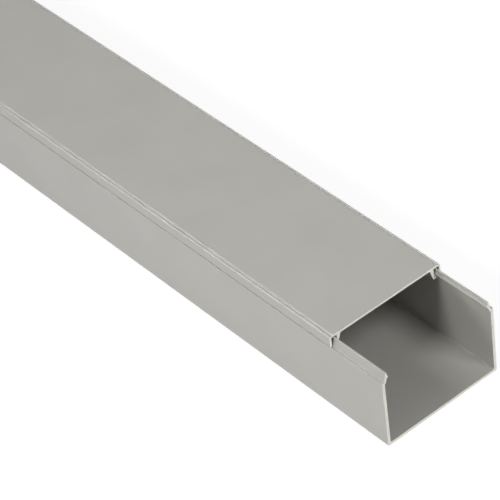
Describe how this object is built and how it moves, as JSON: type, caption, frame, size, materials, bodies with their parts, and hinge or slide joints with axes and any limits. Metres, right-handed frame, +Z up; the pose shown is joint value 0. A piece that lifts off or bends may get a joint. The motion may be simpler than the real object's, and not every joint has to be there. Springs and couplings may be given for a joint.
{
  "type": "cable trunking",
  "caption": "Rectangular plastic cable trunking: a U-shaped channel with shouldered rims and a clip-on lid drawn back a little from one end.",
  "frame": {"origin": "the middle of the channel's flat underside, halfway along the channel", "axes": "+X along the trunking, towards the end where the channel shows past the lid; +Y across it; +Z up, from the channel's floor to the lid"},
  "size_m": [2.03, 0.06, 0.04],
  "materials": {
    "channel_pvc": "satin, stone grey, cream saw-cut ends",
    "lid_pvc": "satin, stone grey, cream saw-cut ends"
  },
  "bodies": {
    "channel": {"trunking_base": "channel_pvc"},
    "lid": {"clip_on_lid": "lid_pvc"}
  },
  "joints": [
    {"name": "lid_slide", "type": "slide", "parent": "channel", "child": "lid", "axis": [1, 0, 0], "range_m": [-1.98, 0.03]}
  ]
}
